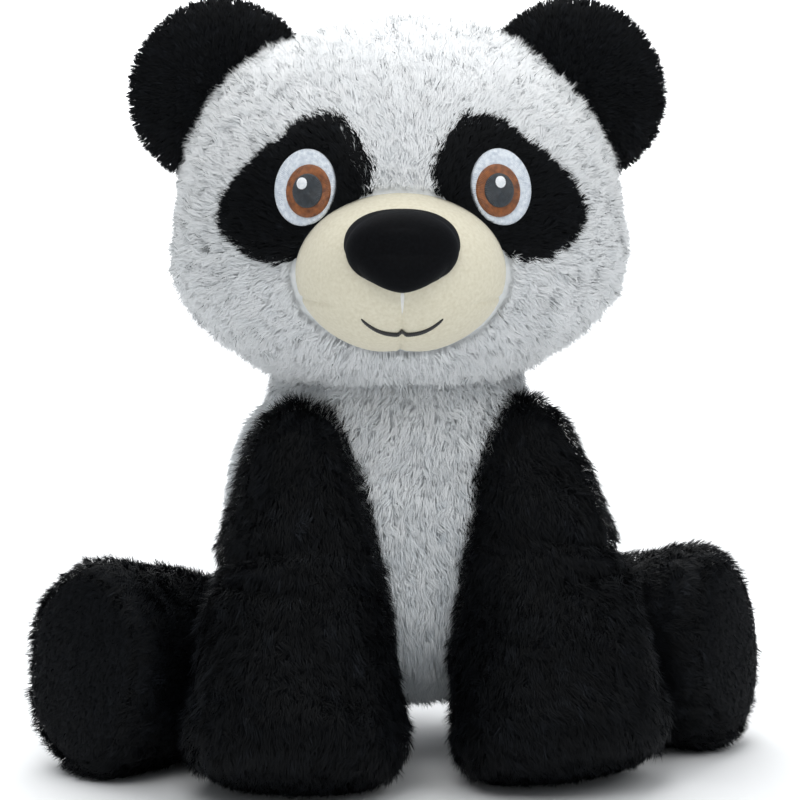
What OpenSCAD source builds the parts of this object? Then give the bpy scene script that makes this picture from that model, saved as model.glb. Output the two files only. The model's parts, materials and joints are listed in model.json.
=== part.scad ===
// Plush panda that sits upright: sewn plush panels over stuffing, with a round head on a ball-shaped
// neck, two front legs that stand on the floor, two hind legs that point out to the sides, folded-in
// ears and a short tail. Millimetres. The body faces -Y, +X is the toy's own left, and the origin is
// under the middle of the whole toy, on the surface that it sits on.

/* [Fabric] */
// Thickness of the long plush, knitted backing and pile together
plush_t = 5; // [4:0.5:6]
// Thickness of the short plush on ears, eye patches, paw pads and foot soles
short_t = 2.4; // [2:0.2:3]
// Thickness of the smooth velour on muzzle and nose
velour_t = 1.4; // [1:0.1:2]
// Gap between parts that move against each other
gap = 0.6; // [0.5:0.1:1]

/* [Head] */
// Half width of the head, ear to ear
head_half_w = 71; // [68:1:72]
// Half depth of the head, front to back
head_half_d = 62; // [60:1:64]
// Half height of the head
head_half_h = 60; // [59:1:61]
// Height of the head's centre above the floor
head_z = 177.5; // [177:0.5:179]
// Turn of the head from straight ahead, seen from above
head_turn = -9; // [-12:1:0]

/* [Ears] */
// Radius of the round ear
ear_r = 29; // [26:1:30]
// Half thickness of the ear at its middle
ear_half_t = 7; // [6:0.5:8]
// Sideways place of the ear's centre
ear_x = 55; // [53:1:57]
// Height of the ear's centre above the head's centre
ear_up = 34; // [33:1:36]
// How far the ear folds forward or back
ear_fold = 20; // [10:1:20]

/* [Face] */
// Half width, half depth and half height of the muzzle
muzzle_r = [31, 31, 25];
// Centre of the muzzle, from the head's centre
muzzle_at = [0, -54, -14.2];
// Half width, half depth and half height of the nose
nose_r = [17.5, 10, 12.5];
// Centre of the nose, from the head's centre
nose_at = [0, -80, -6.7];
// Half width and half height of the embroidered eye white
eye_r = [9, 11];
// Middle of the eye, sideways and up from the head's centre
eye_at = [29.5, 9.8];

/* [Body] */
// Half width of the body at its fullest
body_rx = 56; // [53:1:58]
// Half depth of the body
body_ry = 47; // [44:1:48]
// Height of the body's underside above the floor
body_low = 19; // [17:1:20]
// Height of the shoulders above the floor
body_high = 120; // [118:1:121]
// Radius of the ball-shaped neck
neck_r = 42; // [40:1:42]
// Height of the neck ball's centre, where the head turns and nods
neck_z = 104; // [103:1:105]

/* [Front legs] */
// Radius at the shoulder
arm_top_r = 19; // [17:0.5:19]
// Radius just above the paw
arm_low_r = 34; // [31:0.5:34]
// Length from the shoulder's centre to the paw pad
arm_len = 102.5; // [101:0.5:103]
// Lean of the front leg, forward from upright
arm_lean = 20; // [18:0.5:20]
// Depth of the front leg as a share of its width
arm_flat = 0.84; // [0.8:0.01:0.84]
// How far the front leg lifts forward
arm_swing = 50; // [30:1:50]

/* [Hind legs] */
// Radius at the hip
leg_hip_r = 25; // [24:0.5:26]
// Radius at the foot
leg_foot_r = 34.5; // [33:0.5:35]
// Length from the hip's centre to the foot sole
leg_len = 83; // [80:0.5:84]
// Turn of the hind leg, outwards from straight ahead
leg_splay = 56; // [55:1:58]
// Width of the hind leg as a share of its height
leg_flat = 0.82; // [0.78:0.01:0.84]

/* [Hidden] */
$fn = 64;
far = 400;

head_r = [head_half_w, head_half_d, head_half_h];
mid_y = 14.5;
head_at = [0, mid_y - 2, head_z];
neck_at = [0, mid_y + 4, neck_z];
neck_cut_z = neck_z + 24.6;

floor_press = 1;
arm_at = [34, mid_y - 23, 100 - floor_press];
arm_corner = 16;
arm_dome = 3;
arm_out = 5;
arm_pad_s = arm_len - arm_dome - arm_corner * 0.5;
arm_slope = atan2(arm_low_r - arm_top_r, arm_len - arm_corner - arm_dome);
swing_reach = 70;
swing_spare = 75;

leg_at = [42, mid_y + 24, leg_hip_r - floor_press];
hip_flat = 5;
leg_corner = 13;
leg_dome = 2.5;
leg_tilt = atan2(leg_foot_r - leg_hip_r, leg_len - leg_corner - leg_dome);
leg_sole_s = leg_len - leg_dome - leg_corner * 0.6;

ear_y = 6;
ear_out_turn = 34;
ear_base = 3;

patch_at = [33, 10.3];
patch_r = [26, 18];
patch_turn = -50;
gaze = [-1.2, -1];
white_t = 0.8;
iris_t = white_t + 0.6;
pupil_t = iris_t + 0.6;
glint_t = pupil_t + 0.6;

mouth_z = -31.1;
smile_r = 15;
smile_h = 5.7;
thread_w = 1.4;
thread_t = 0.8;

body_mid = [0, mid_y + 6, (body_low + body_high) / 2];
body_half_h = (body_high - body_low) / 2;
body_power = 3;

tail_r = 14;
tail_at = [0, mid_y + 48.2, 36];
tail_tilt = 27;
pouch_at = [0, mid_y + 20, 50];
pouch_r = [13, 17, 14];
pouch_t = 1;

// ---------- shared shapes ----------

// An ellipsoid with the given half sizes.
module egg(r) {
    scale(r) sphere(r = 1);
}

// Everything on one side of a plane through the origin: side is the outward direction along one axis.
module half_space(side) {
    translate(side * far / 2) cube(far, center = true);
}

// Outline of a sewn limb, turned about its length: a round end of radius r_a about the origin, a
// straight taper to r_b, a rounded corner and a slightly domed end. inset moves every side inwards.
function limb_outline(r_a, r_b, corner, dome, len, inset) =
    let (
        full = len - corner - dome,
        slope = atan2(r_b - r_a, full),
        c = corner - inset,
        a = r_a - inset,
        rim = r_b - corner
    )
    concat(
        [for (t = [-90 : 10 : -slope - 1]) [t == -90 ? 0 : a * cos(t), a * sin(t)]],
        [[a * cos(slope), -a * sin(slope)]],
        [for (t = [-slope : 11 : 75]) [rim + c * cos(t), full + c * sin(t)]],
        [[rim * 0.5, len - inset], [0, len - inset]]
    );

// The outline given as child turned about Z in four quarters and squeezed to the share flat along Y.
module turned(flat) {
    scale([1, flat, 1])
        for (quarter = [0 : 90 : 270])
            rotate([0, 0, quarter]) rotate_extrude(angle = 90) children();
}

// A limb along +Z with its round end about the origin.
module limb(r_a, r_b, corner, dome, len, flat, inset) {
    turned(flat) polygon(limb_outline(r_a, r_b, corner, dome, len, inset));
}

// ---------- where each part stands ----------

// Draws its children, made for the toy's left, on the given side: 1 is left, -1 is right.
module sided(side) {
    mirror([side < 0 ? 1 : 0, 0, 0]) children();
}

// Puts what is drawn along +Z from the shoulder where the left front leg is.
module at_arm() {
    translate(arm_at) rotate([180 - arm_lean, 0, 0]) rotate([0, arm_out, 0]) children();
}

// Puts what is drawn along +Z from the hip where the left hind leg is.
module at_leg() {
    translate(leg_at)
        rotate([0, 0, leg_splay]) rotate([90 - leg_tilt, 0, 0]) rotate([0, 0, 90]) children();
}

// The head's own centre, with the head looking along -Y, turned about the neck to where it looks.
module at_head() {
    translate(neck_at) rotate([0, 0, head_turn]) translate(head_at - neck_at) children();
}

// Puts the ear, drawn upright about its own centre, where the left ear is on the head.
module at_ear() {
    translate([ear_x, ear_y, ear_up]) rotate([0, 90 - ear_out_turn, 0]) children();
}

// ---------- whole forms, from which panels and stuffing are cut ----------

module arm_form(inset) {
    limb(arm_top_r, arm_low_r, arm_corner, arm_dome, arm_len, arm_flat, inset);
}

module leg_form(inset) {
    limb(leg_hip_r, leg_foot_r, leg_corner, leg_dome, leg_len, leg_flat, inset);
}

// The body as a barrel: its radius follows a superellipse from the underside to the shoulders.
module barrel(inset) {
    steps = 16;
    h = body_half_h - inset;
    r = body_rx - inset;
    translate(body_mid)
        turned((body_ry - inset) / r)
            polygon([
                for (i = [0 : steps])
                    let (t = sin(180 * i / steps - 90))
                    [r * pow(max(0, 1 - pow(abs(t), body_power)), 1 / body_power), h * t]
            ]);
}

// The path of the left front leg as it lifts: a ball at the shoulder, and a wedge between the two
// sides of the leg, turned about the line through the shoulder.
module arm_path(grow) {
    r = arm_top_r + grow;
    inner = arm_slope - arm_out;
    outer = arm_slope + arm_out;
    translate(arm_at) {
        sphere(r = r);
        rotate([-arm_lean - arm_swing - swing_spare, 0, 0])
            rotate([0, 90, 0])
                rotate_extrude(angle = arm_swing + swing_spare)
                    polygon([
                        [0, -r / cos(inner)],
                        [swing_reach, -r / cos(inner) - swing_reach * tan(inner)],
                        [swing_reach, r / cos(outer) + swing_reach * tan(outer)],
                        [0, r / cos(outer)]
                    ]);
    }
}

// Room that the limbs need in the body: the front legs where they rest against it and lift from it,
// and for each hind leg a ball at the hip with a flat side beyond it. grow moves every side outwards.
module limb_room(grow) {
    for (side = [-1, 1])
        sided(side) {
            at_arm() arm_form(-grow);
            arm_path(grow);
            translate(leg_at) sphere(r = leg_hip_r + grow);
            translate([leg_at[0] - hip_flat - grow, -far / 2, -far / 2])
                cube([far, far, far / 2 + leg_foot_r * 2 + grow]);
        }
}

// The body with its neck ball, cut flat where the neck's own stuffing begins.
module body_form(inset) {
    difference() {
        union() {
            barrel(inset);
            translate(neck_at) sphere(r = neck_r - inset);
        }
        limb_room(gap + inset);
        translate([0, 0, neck_cut_z - inset]) half_space([0, 0, 1]);
    }
}

// The head's ellipsoid about its own centre, grown by a layer of fabric.
module head_egg(grow) {
    egg([for (r = head_r) r + grow]);
}

// The head with the hollow underneath in which it turns over the neck ball.
module head_form(inset) {
    difference() {
        head_egg(-inset);
        translate(neck_at - head_at) sphere(r = neck_r + gap + inset);
    }
}

module muzzle_form(inset) {
    translate(muzzle_at) egg([for (r = muzzle_r) r - inset]);
}

module nose_form(inset) {
    translate(nose_at) egg([for (r = nose_r) r - inset]);
}

// The ear as a round pillow: half an oval turned about the ear's short axis.
module ear_form(inset) {
    rotate([90, 0, 0])
        rotate_extrude()
            polygon([
                for (t = [-90 : 15 : 90])
                    [abs(t) == 90 ? 0 : (ear_r - inset) * cos(t), (ear_half_t - inset) * sin(t)]
            ]);
}

// ---------- body ----------

module body_skin() {
    difference() {
        body_form(0);
        body_form(plush_t);
    }
}

module belly_panel() {
    color("white")
        intersection() {
            body_skin();
            translate([0, body_mid[1], 0]) half_space([0, -1, 0]);
        }
}

// One half of the back, closed down the middle by hand after stuffing.
module back_panel(side) {
    color("white")
        sided(side)
            intersection() {
                body_skin();
                translate([0, body_mid[1], 0]) half_space([0, 1, 0]);
                half_space([1, 0, 0]);
            }
}

module body_stuffing() {
    color("ivory")
        difference() {
            body_form(plush_t);
            translate(pouch_at) egg(pouch_r);
        }
}

// Cloth bag of plastic pellets that weights the seat.
module pellet_pouch() {
    color("lightgrey")
        translate(pouch_at)
            difference() {
                egg(pouch_r);
                egg([for (r = pouch_r) r - pouch_t]);
            }
}

module pellets() {
    color("lightblue")
        translate(pouch_at) egg([for (r = pouch_r) r - pouch_t]);
}

// The cap of the neck ball above the flat cut: it turns on the body, and the head nods over it.
module neck_stuffing() {
    color("ivory")
        intersection() {
            translate(neck_at) sphere(r = neck_r);
            translate([0, 0, neck_cut_z + gap]) half_space([0, 0, 1]);
        }
}

// ---------- head ----------

module head_skin() {
    difference() {
        head_form(0);
        head_form(plush_t);
    }
}

// One half of the face, joined to the other under the chin and over the crown.
module face_panel(side) {
    color("white")
        at_head()
            sided(side)
                intersection() {
                    head_skin();
                    half_space([0, -1, 0]);
                    half_space([1, 0, 0]);
                }
}

module head_back_panel() {
    color("white")
        at_head()
            intersection() {
                head_skin();
                half_space([0, 1, 0]);
            }
}

module head_stuffing() {
    color("ivory") at_head() head_form(plush_t);
}

// A layer of fabric on the front of the head, from one height to the next, under a flat outline
// drawn for the toy's left.
module face_layer(side, low, high) {
    at_head()
        sided(side)
            intersection() {
                difference() {
                    head_egg(high, $fn = 128);
                    head_egg(low, $fn = 128);
                }
                rotate([90, 0, 0]) linear_extrude(far) children();
            }
}

// The slanting patch round one eye, cut away where the muzzle covers it.
module eye_patch(side) {
    color("black")
        difference() {
            face_layer(side, 0, short_t)
                translate(patch_at) rotate(patch_turn) scale(patch_r) circle(r = 1);
            at_head() muzzle_form(0);
        }
}

// One oval of the embroidered eye, a share of the eye's size, moved by shift, from low to high.
module eye_disc(side, share, shift, low, high) {
    face_layer(side, short_t + low, short_t + high)
        translate(eye_at + shift) scale(eye_r * share) circle(r = 1);
}

module eye_white(side) {
    color("aliceblue") eye_disc(side, 1, [0, 0], 0, white_t);
}

module iris(side) {
    color("sienna") eye_disc(side, 0.68, gaze, white_t, iris_t);
}

module pupil(side) {
    color("darkslategrey") eye_disc(side, 0.43, gaze, iris_t, pupil_t);
}

module glint(side) {
    color("white") eye_disc(side, 0.17, gaze + [0, 1.4], pupil_t, glint_t);
}

module muzzle_skin() {
    color("wheat")
        at_head()
            difference() {
                difference() {
                    muzzle_form(0);
                    head_egg(0);
                }
                muzzle_form(velour_t);
            }
}

module muzzle_stuffing() {
    color("ivory")
        at_head()
            difference() {
                muzzle_form(velour_t);
                head_egg(0);
            }
}

module nose_skin() {
    color("black")
        at_head()
            difference() {
                nose_form(0);
                nose_form(velour_t);
                muzzle_form(0);
                head_egg(0);
            }
}

module nose_stuffing() {
    color("ivory")
        at_head()
            difference() {
                nose_form(velour_t);
                muzzle_form(0);
                head_egg(0);
            }
}

// A curved line of thread below the nose, lying on the muzzle.
module mouth_stitching() {
    color("black")
        at_head()
            intersection() {
                difference() {
                    muzzle_form(-thread_t);
                    muzzle_form(0);
                }
                translate([0, muzzle_at[1], mouth_z + smile_r])
                    rotate([90, 0, 0])
                        linear_extrude(far)
                            difference() {
                                circle(r = smile_r + thread_w / 2);
                                circle(r = smile_r - thread_w / 2);
                                translate([-far / 2, smile_h - smile_r]) square(far);
                            }
            }
}

// ---------- ears ----------

// The ear without the room that the head needs while the ear folds about its base.
module ear_clear(inset) {
    difference() {
        ear_form(inset);
        for (turn = [-ear_fold, 0, ear_fold])
            translate([0, 0, -ear_base])
                rotate([turn, 0, 0])
                    translate([0, 0, ear_base])
                        rotate([0, ear_out_turn - 90, 0])
                            translate([-ear_x, -ear_y, -ear_up])
                                head_egg(gap);
    }
}

// The front or the back of one ear: facing is -1 for the front.
module ear_panel(side, facing) {
    color("black")
        at_head()
            sided(side)
                at_ear()
                    intersection() {
                        difference() {
                            ear_clear(0);
                            ear_form(short_t);
                        }
                        half_space([0, facing, 0]);
                    }
}

module ear_batting(side) {
    color("ivory")
        at_head()
            sided(side)
                at_ear()
                    ear_clear(short_t);
}

// ---------- front and hind legs ----------

// One half of the skin of the limb form given as children, outer and inner, up to its pad or sole.
module limb_panel(facing, end_s) {
    color("black")
        intersection() {
            difference() {
                children(0);
                children(1);
            }
            half_space([facing, 0, 0]);
            translate([0, 0, end_s]) half_space([0, 0, -1]);
        }
}

// The short plush that closes the end of the limb form given as children, outer and inner.
module limb_end(end_s) {
    color("darkslategrey")
        difference() {
            intersection() {
                children(0);
                translate([0, 0, end_s]) half_space([0, 0, 1]);
            }
            children(1);
        }
}

// What is drawn, without what would lie below the floor: soft limbs rest on small flats.
module above_floor() {
    intersection() {
        children();
        half_space([0, 0, 1]);
    }
}

module arm_panel(side, facing) {
    above_floor()
        sided(side)
            at_arm()
                limb_panel(facing, arm_pad_s) {
                    arm_form(0);
                    arm_form(plush_t);
                }
}

module paw_pad(side) {
    above_floor()
        sided(side)
            at_arm()
                limb_end(arm_pad_s) {
                    arm_form(0);
                    arm_form(plush_t);
                }
}

module arm_stuffing(side) {
    color("ivory") sided(side) at_arm() arm_form(plush_t);
}

module leg_panel(side, facing) {
    above_floor()
        sided(side)
            at_leg()
                limb_panel(facing, leg_sole_s) {
                    leg_form(0);
                    leg_form(plush_t);
                }
}

module foot_sole(side) {
    above_floor()
        sided(side)
            at_leg()
                limb_end(leg_sole_s) {
                    leg_form(0);
                    leg_form(plush_t);
                }
}

module leg_stuffing(side) {
    color("ivory") sided(side) at_leg() leg_form(plush_t);
}

// ---------- tail ----------

// A half ball that stands on the seam side of the back, tilted down with the body's surface.
module half_ball(r) {
    translate(tail_at)
        rotate([-tail_tilt, 0, 0])
            intersection() {
                sphere(r = r);
                half_space([0, 1, 0]);
            }
}

module tail_skin() {
    color("white")
        difference() {
            half_ball(tail_r);
            half_ball(tail_r - short_t);
        }
}

module tail_stuffing() {
    color("ivory")
        half_ball(tail_r - short_t);
}

belly_panel();
back_panel(1);  // back_left_panel
back_panel(-1);  // back_right_panel
body_stuffing();
pellet_pouch();
pellets();
neck_stuffing();
face_panel(1);  // face_left_panel
face_panel(-1);  // face_right_panel
head_back_panel();
head_stuffing();
eye_patch(1);  // eye_patch_left
eye_patch(-1);  // eye_patch_right
eye_white(1);  // eye_white_left
eye_white(-1);  // eye_white_right
iris(1);  // iris_left
iris(-1);  // iris_right
pupil(1);  // pupil_left
pupil(-1);  // pupil_right
glint(1);  // glint_left
glint(-1);  // glint_right
muzzle_skin();
muzzle_stuffing();
nose_skin();
nose_stuffing();
mouth_stitching();
ear_panel(1, -1);  // ear_front_left
ear_panel(-1, -1);  // ear_front_right
ear_panel(1, 1);  // ear_back_left
ear_panel(-1, 1);  // ear_back_right
ear_batting(1);  // ear_batting_left
ear_batting(-1);  // ear_batting_right
arm_panel(1, 1);  // arm_outer_panel_left
arm_panel(-1, 1);  // arm_outer_panel_right
arm_panel(1, -1);  // arm_inner_panel_left
arm_panel(-1, -1);  // arm_inner_panel_right
paw_pad(1);  // paw_pad_left
paw_pad(-1);  // paw_pad_right
arm_stuffing(1);  // arm_stuffing_left
arm_stuffing(-1);  // arm_stuffing_right
leg_panel(1, 1);  // leg_upper_panel_left
leg_panel(-1, 1);  // leg_upper_panel_right
leg_panel(1, -1);  // leg_lower_panel_left
leg_panel(-1, -1);  // leg_lower_panel_right
foot_sole(1);  // foot_sole_left
foot_sole(-1);  // foot_sole_right
leg_stuffing(1);  // leg_stuffing_left
leg_stuffing(-1);  // leg_stuffing_right
tail_skin();
tail_stuffing();
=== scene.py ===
"""Plush panda that sits upright, sewn from plush panels over stuffing. Metres, in the part's frame."""

import json
import math

import bmesh
import bpy
import numpy as np
from mathutils import Matrix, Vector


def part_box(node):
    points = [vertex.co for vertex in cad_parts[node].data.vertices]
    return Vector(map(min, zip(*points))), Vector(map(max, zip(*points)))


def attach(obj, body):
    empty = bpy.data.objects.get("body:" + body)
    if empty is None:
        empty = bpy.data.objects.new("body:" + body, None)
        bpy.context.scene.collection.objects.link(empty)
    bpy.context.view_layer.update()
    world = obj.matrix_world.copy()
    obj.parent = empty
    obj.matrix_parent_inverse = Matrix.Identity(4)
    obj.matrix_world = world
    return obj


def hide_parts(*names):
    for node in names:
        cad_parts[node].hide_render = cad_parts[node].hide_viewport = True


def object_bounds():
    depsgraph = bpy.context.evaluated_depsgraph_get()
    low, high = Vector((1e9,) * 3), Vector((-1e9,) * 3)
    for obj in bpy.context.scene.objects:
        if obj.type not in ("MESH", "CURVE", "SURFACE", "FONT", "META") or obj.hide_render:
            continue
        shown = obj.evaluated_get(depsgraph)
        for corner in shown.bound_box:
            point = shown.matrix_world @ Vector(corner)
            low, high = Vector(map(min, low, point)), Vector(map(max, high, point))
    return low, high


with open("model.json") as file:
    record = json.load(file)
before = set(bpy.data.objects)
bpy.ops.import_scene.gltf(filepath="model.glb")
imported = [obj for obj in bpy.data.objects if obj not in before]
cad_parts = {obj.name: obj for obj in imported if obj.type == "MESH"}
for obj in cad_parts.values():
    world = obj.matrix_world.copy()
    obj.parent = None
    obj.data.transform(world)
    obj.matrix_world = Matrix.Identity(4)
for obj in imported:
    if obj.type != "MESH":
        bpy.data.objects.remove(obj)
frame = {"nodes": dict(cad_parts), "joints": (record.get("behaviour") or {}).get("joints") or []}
cad_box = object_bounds()

# ---------------------------------------------------------------------------------------------
# Torso: a belly panel and two back panels of long white plush, sewn into a barrel and stuffed.
# The front legs and thighs press soft hollows into it. The pile is combed downwards.

joint = {j["name"]: j for j in frame["joints"]}
sides = {"left": 1, "right": -1}
quarter, half_turn, full_turn = math.pi / 2, math.pi, 2 * math.pi


def box_middle(node):
    """Middle of a part's box: the mean of its lowest and highest corner."""
    low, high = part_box(node)
    return (np.array(low) + np.array(high)) / 2


def unit(vectors):
    """Each vector divided by its own length."""
    return vectors / np.maximum(np.linalg.norm(vectors, axis=-1, keepdims=True), 1e-12)


def unevenness(points, size, seed):
    """Soft cloth unevenness, about -1 to 1: the sum of seven sine waves of about that wavelength,
    each along its own direction."""
    rng = np.random.default_rng(seed)
    ways = unit(rng.normal(size=(7, 3))) * (2 * math.pi / size) * rng.uniform(0.6, 1.5, (7, 1))
    return np.sin(points @ ways.T + rng.uniform(0, 6.3, 7)).sum(-1) / 3.2


def grid(first, second):
    """Two parameters at every point of a grid: first down the rows, second along them."""
    return np.meshgrid(first, second, indexing="ij")


def ridge(distance, width):
    """A bell curve: 1 where the distance is 0, near 0 beyond twice the width."""
    return np.exp(-((distance / width) ** 2))


def leg_room(side, which):
    """Axis and end radii of one leg: from its joint to the middle of its pad or sole. The radii are
    those of the hollow that the leg presses into the torso."""
    if which == "arm":
        top = np.array(joint["shoulder_" + side]["pos_m"])
        return top, box_middle("paw_pad_" + side), 0.0185, 0.031
    top = np.array(joint["hip_" + side]["pos_m"])
    return top, box_middle("foot_sole_" + side), 0.023, 0.031


def pushed_clear(points, axis_x, axis_y):
    """Moves points that lie inside a leg sideways towards the line x = axis_x, y = axis_y, in steps
    nearly as long as the depth that is left, until they lie on the leg's surface. The depth is the
    leg's radius, which grows evenly along it, less the distance from the leg's middle line."""
    steps, stride = 14, 0.9
    points = points.copy()
    inward = np.stack([axis_x - points[..., 0], axis_y - points[..., 1], 0 * points[..., 0]], -1)
    inward = unit(inward)
    for side in sides:
        for which in ("arm", "leg"):
            top, foot, r_top, r_foot = leg_room(side, which)
            along = foot - top
            for _ in range(steps):
                t = np.clip((points - top) @ along / (along @ along), 0, 1)[..., None]
                away = np.linalg.norm(points - top - t * along, axis=-1, keepdims=True)
                depth = np.maximum(r_top + t * (r_foot - r_top) - away, 0)
                points = points + inward * depth * stride
    return points


def cloth_piece(name, points, material, middle):
    """Mesh of a grid of points: one four-sided face for each cell. Equal points are welded, so a
    pole or a closed turn has no gap, and the faces point away from the middle."""
    weld, flat_edge = 2e-5, 1e-6
    rows, columns = points.shape[:2]
    number = np.arange(rows * columns).reshape(rows, columns)
    faces = np.stack([number[:-1, :-1], number[:-1, 1:], number[1:, 1:], number[1:, :-1]], -1)
    mesh = bpy.data.meshes.new(name)
    mesh.from_pydata(points.reshape(-1, 3).tolist(), [], faces.reshape(-1, 4).tolist())
    work = bmesh.new()
    work.from_mesh(mesh)
    bmesh.ops.remove_doubles(work, verts=work.verts, dist=weld)
    bmesh.ops.dissolve_degenerate(work, edges=work.edges, dist=flat_edge)
    work.to_mesh(mesh)
    work.free()
    normals = np.empty(len(mesh.polygons) * 3)
    middles = np.empty(len(mesh.polygons) * 3)
    mesh.polygons.foreach_get("normal", normals)
    mesh.polygons.foreach_get("center", middles)
    if ((middles.reshape(-1, 3) - middle) * normals.reshape(-1, 3)).sum() < 0:
        mesh.flip_normals()
    mesh.shade_smooth()
    mesh.materials.append(material)
    piece = bpy.data.objects.new(name, mesh)
    bpy.context.collection.objects.link(piece)
    return piece


def plain_shader(name, roughness, sheen, sheen_tint, specular):
    """Material with one Principled shader whose even values are set on its own sockets. Returns the
    material, its node tree and the shader."""
    material = bpy.data.materials.new(name)
    material.use_nodes = True
    shader = material.node_tree.nodes["Principled BSDF"]
    shader.inputs["Roughness"].default_value = roughness
    shader.inputs["Sheen Weight"].default_value = sheen
    shader.inputs["Sheen Roughness"].default_value = 0.5
    shader.inputs["Sheen Tint"].default_value = (*sheen_tint, 1)
    shader.inputs["Specular IOR Level"].default_value = specular
    return material, material.node_tree, shader


def colour_steps(tree, source, stops):
    """Colour ramp fed by source: stops are pairs of place and colour."""
    ramp = tree.nodes.new("ShaderNodeValToRGB")
    ramp.color_ramp.elements[0].position = stops[0][0]
    ramp.color_ramp.elements[0].color = (*stops[0][1], 1)
    ramp.color_ramp.elements[1].position = stops[-1][0]
    ramp.color_ramp.elements[1].color = (*stops[-1][1], 1)
    for place, colour in stops[1:-1]:
        ramp.color_ramp.elements.new(place).color = (*colour, 1)
    tree.links.new(source, ramp.inputs["Fac"])
    return ramp.outputs["Color"]


def knit_cloth(name, dark, light, size, bump, roughness=0.9, sheen=0.3, sheen_tint=(1, 1, 1),
               specular=0.2):
    """Backing cloth under the pile: one noise on Object coordinates mixes two shades and also raises the
    surface."""
    material, tree, shader = plain_shader(name, roughness, sheen, sheen_tint, specular)
    place = tree.nodes.new("ShaderNodeTexCoord")
    fine = tree.nodes.new("ShaderNodeTexNoise")
    fine.inputs["Scale"].default_value = 1 / size
    fine.inputs["Detail"].default_value = 4
    tree.links.new(place.outputs["Object"], fine.inputs["Vector"])
    colour = colour_steps(tree, fine.outputs["Fac"], [(0.3, dark), (0.7, light)])
    tree.links.new(colour, shader.inputs["Base Color"])
    raise_up = tree.nodes.new("ShaderNodeBump")
    raise_up.inputs["Strength"].default_value = 0.6
    raise_up.inputs["Distance"].default_value = bump
    tree.links.new(fine.outputs["Fac"], raise_up.inputs["Height"])
    tree.links.new(raise_up.outputs["Normal"], shader.inputs["Normal"])
    return material


def pile_fibre(name, tones, painted_root_shade, roughness, sheen, sheen_tint, specular):
    """Fibre of a pile: across the piece's own UV map runs the range of tones, one place for each fibre, and
    up its lowest eighth runs the fibre, from painted shade at its root, which stands in for the shade deep in
    the pile, to full brightness."""
    material, tree, shader = plain_shader(name, roughness, sheen, sheen_tint, specular)
    place = tree.nodes.new("ShaderNodeUVMap")
    place.uv_map = "OFBake"
    parts = tree.nodes.new("ShaderNodeSeparateXYZ")
    tree.links.new(place.outputs["UV"], parts.inputs["Vector"])
    eight = tree.nodes.new("ShaderNodeMath")
    eight.operation = "MULTIPLY"
    eight.inputs[1].default_value = 8
    tree.links.new(parts.outputs["Y"], eight.inputs[0])
    tone = colour_steps(tree, parts.outputs["X"], tones)
    full = (1, 1, 1)
    shade = colour_steps(tree, eight.outputs["Value"], [(0.0, painted_root_shade), (0.75, full), (1.0, full)])
    both = tree.nodes.new("ShaderNodeMix")
    both.data_type = "RGBA"
    both.blend_type = "MULTIPLY"
    both.inputs["Factor"].default_value = 1
    tree.links.new(tone, both.inputs["A"])
    tree.links.new(shade, both.inputs["B"])
    tree.links.new(both.outputs["Result"], shader.inputs["Base Color"])
    return material


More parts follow.
